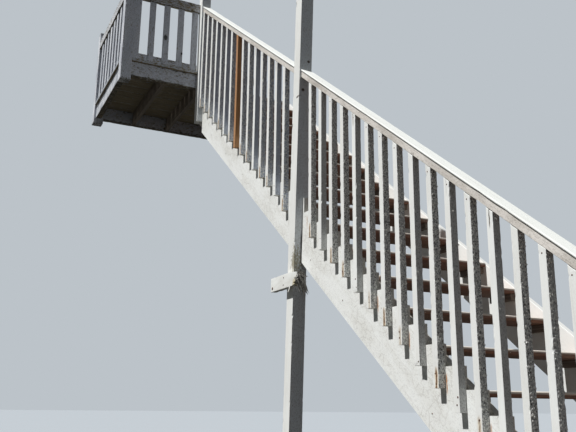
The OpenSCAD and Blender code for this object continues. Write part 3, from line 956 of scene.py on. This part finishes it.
shardLook = {"Density": 5000.0, "Tip": 0.0005, "Wobble": (0.014, 0.014, 0.004), "Material": splinterTimber}
splinterLook = {
    "torn_splinters_level": {
        **shardLook, "From X": stubHigh.x - 0.0516, "Length": 0.045, "Radius": 0.0050, "Stray": 0.40,
        "Aim": (1.0, 0.5, -0.5), "Seed": 1},
    "torn_splinters_hanging": {
        **shardLook, "From X": stubHigh.x - 0.0466, "Length": 0.120, "Radius": 0.0070, "Stray": 0.17,
        "Aim": (-0.05, 0.30, -1.0), "Seed": 2},
}
splinters = splinterTree()
for name, look in splinterLook.items():
    piece = growPiece(name, stub, splinters, look)
    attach(piece, "root")
print("stage: nails, flakes and splinters grown")

curlLook = {
    "top": (stubHigh.x - 0.1406, stubLow.y - 0.0012, stubLow.z + 0.009),
    "drop": 0.045, "width": 0.013, "thick": 0.0009, "narrows": 0.5, "out": 0.010,
    "sway": 0.004, "swayTurn": 3, "rings": 8,
}


# A strip of paint that has come away from the broken board and hangs from its lower edge, a thin closed
# slab that narrows and sways as it drops
def hangCurl(name, look, material):
    made = bmesh.new()
    rings = []
    for k in range(look["rings"]):
        share = k / (look["rings"] - 1)
        sway = look["sway"] * math.sin(look["swayTurn"] * share)
        middle = Vector(look["top"]) + Vector((sway, -look["out"] * share ** 2, -look["drop"] * share))
        half = look["width"] / 2 * (1 - look["narrows"] * share)
        rings.append([made.verts.new(middle + Vector((x * half, y * look["thick"] / 2, 0)))
                      for x, y in ((-1, -1), (1, -1), (1, 1), (-1, 1))])
    for upper, lower in zip(rings, rings[1:]):
        for k in range(4):
            made.faces.new((upper[k], upper[(k + 1) % 4], lower[(k + 1) % 4], lower[k]))
    made.faces.new(rings[0])
    made.faces.new(rings[-1])
    bmesh.ops.recalc_face_normals(made, faces=made.faces)
    mesh = bpy.data.meshes.new(name)
    made.to_mesh(mesh)
    made.free()
    mesh.materials.append(material)
    piece = addObject(name, mesh)
    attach(piece, "root")


hangCurl("paint_curl_on_stub", curlLook, stubPaint)
print("stage: torn end made")

# The photograph's own viewpoint, with the image taken as 576 by 432
view = {
    "place": (0.5436, -3.0889, 1.5566), "heading": 64.36, "pitch": 14.71, "roll": 0.655,
    "focal": 718.3, "wide": 576, "film": 36, "farthest": 500,
}
lens = bpy.data.cameras.new("camera")
lens.sensor_width = view["film"]
lens.lens = view["focal"] / view["wide"] * view["film"]
lens.clip_end = view["farthest"]
camera = addObject("camera", lens)
turned = (Matrix.Rotation(math.radians(view["heading"]), 3, "Z")
          @ Matrix.Rotation(math.radians(90 + view["pitch"]), 3, "X")
          @ Matrix.Rotation(math.radians(view["roll"]), 3, "Z"))
camera.rotation_euler = turned.to_euler()
camera.location = view["place"]
bpy.context.scene.camera = camera

light = {
    "sunHeight": 60,  # degrees over the ground, from straight in front of the balustrade
    "sunAside": 3,  # degrees up the flight, so the faces that look down it stay in shade
    "sunPower": 4.95,
    "sunSoft": 1.0,
    "sideFrom": (1.0, -0.15, 0.25),  # soft light from past the foot of the flight
    "sidePower": 0.20,
    "sideSoft": 80,
    "fill": "#dfe8f4",
    "fillPower": 0.07,
    "backdrop": "#bcc3c9",
}


def hangSun(name, toward, power, soft):
    lamp = bpy.data.lights.new(name, "SUN")
    lamp.energy = power
    lamp.angle = math.radians(soft)
    addObject(name, lamp).rotation_euler = Vector(toward).to_track_quat("Z", "Y").to_euler()


height, aside = math.radians(light["sunHeight"]), math.radians(light["sunAside"])
toSun = (-math.sin(aside) * math.cos(height), -math.cos(aside) * math.cos(height), math.sin(height))
hangSun("sun", toSun, light["sunPower"], light["sunSoft"])
hangSun("side_light", light["sideFrom"], light["sidePower"], light["sideSoft"])

# The camera and reflections see a pale backdrop; what lights the stair is a weaker, cooler sky
world = bpy.data.worlds.new("sky")
bpy.context.scene.world = world
world.use_nodes = True
sky = world.node_tree
sky.nodes.clear()
seen = 0.0
for ray in ("Is Camera Ray", "Is Glossy Ray", "Is Transmission Ray"):
    seen = addNode(sky, "Math", [seen, addNode(sky, "LightPath", out=ray)], operation="MAXIMUM")
fill = addNode(sky, "Background", {"Color": light["fill"], "Strength": light["fillPower"]})
pale = addNode(sky, "Background", {"Color": light["backdrop"], "Strength": 1.0})
both = addNode(sky, "MixShader", [seen, fill, pale])
addNode(sky, "OutputWorld", {"Surface": both})

ground = {"reach": 150, "seen": "#a9afb4", "bounce": "#454543"}


# Plain pale floor that keeps the shadow. Light bouncing up from it is held back, as from dull ground.
def paleFloor(look):
    made, tree = startMaterial("pale_floor")
    direct = addNode(tree, "LightPath", out="Is Camera Ray")
    colour = layCoats(tree, look["bounce"], [(direct, look["seen"])])
    shader = addNode(tree, "BsdfDiffuse", {"Color": colour})
    addNode(tree, "OutputMaterial", {"Surface": shader})
    mesh = bpy.data.meshes.new("floor")
    corners = [(x * look["reach"], y * look["reach"], 0) for x, y in ((-1, -1), (1, -1), (1, 1), (-1, 1))]
    mesh.from_pydata(corners, [], [(0, 1, 2, 3)])
    mesh.materials.append(made)
    floor = addObject("floor", mesh)


paleFloor(ground)
bpy.context.scene.view_settings.view_transform = "Standard"
print("stage: camera, light and floor set")
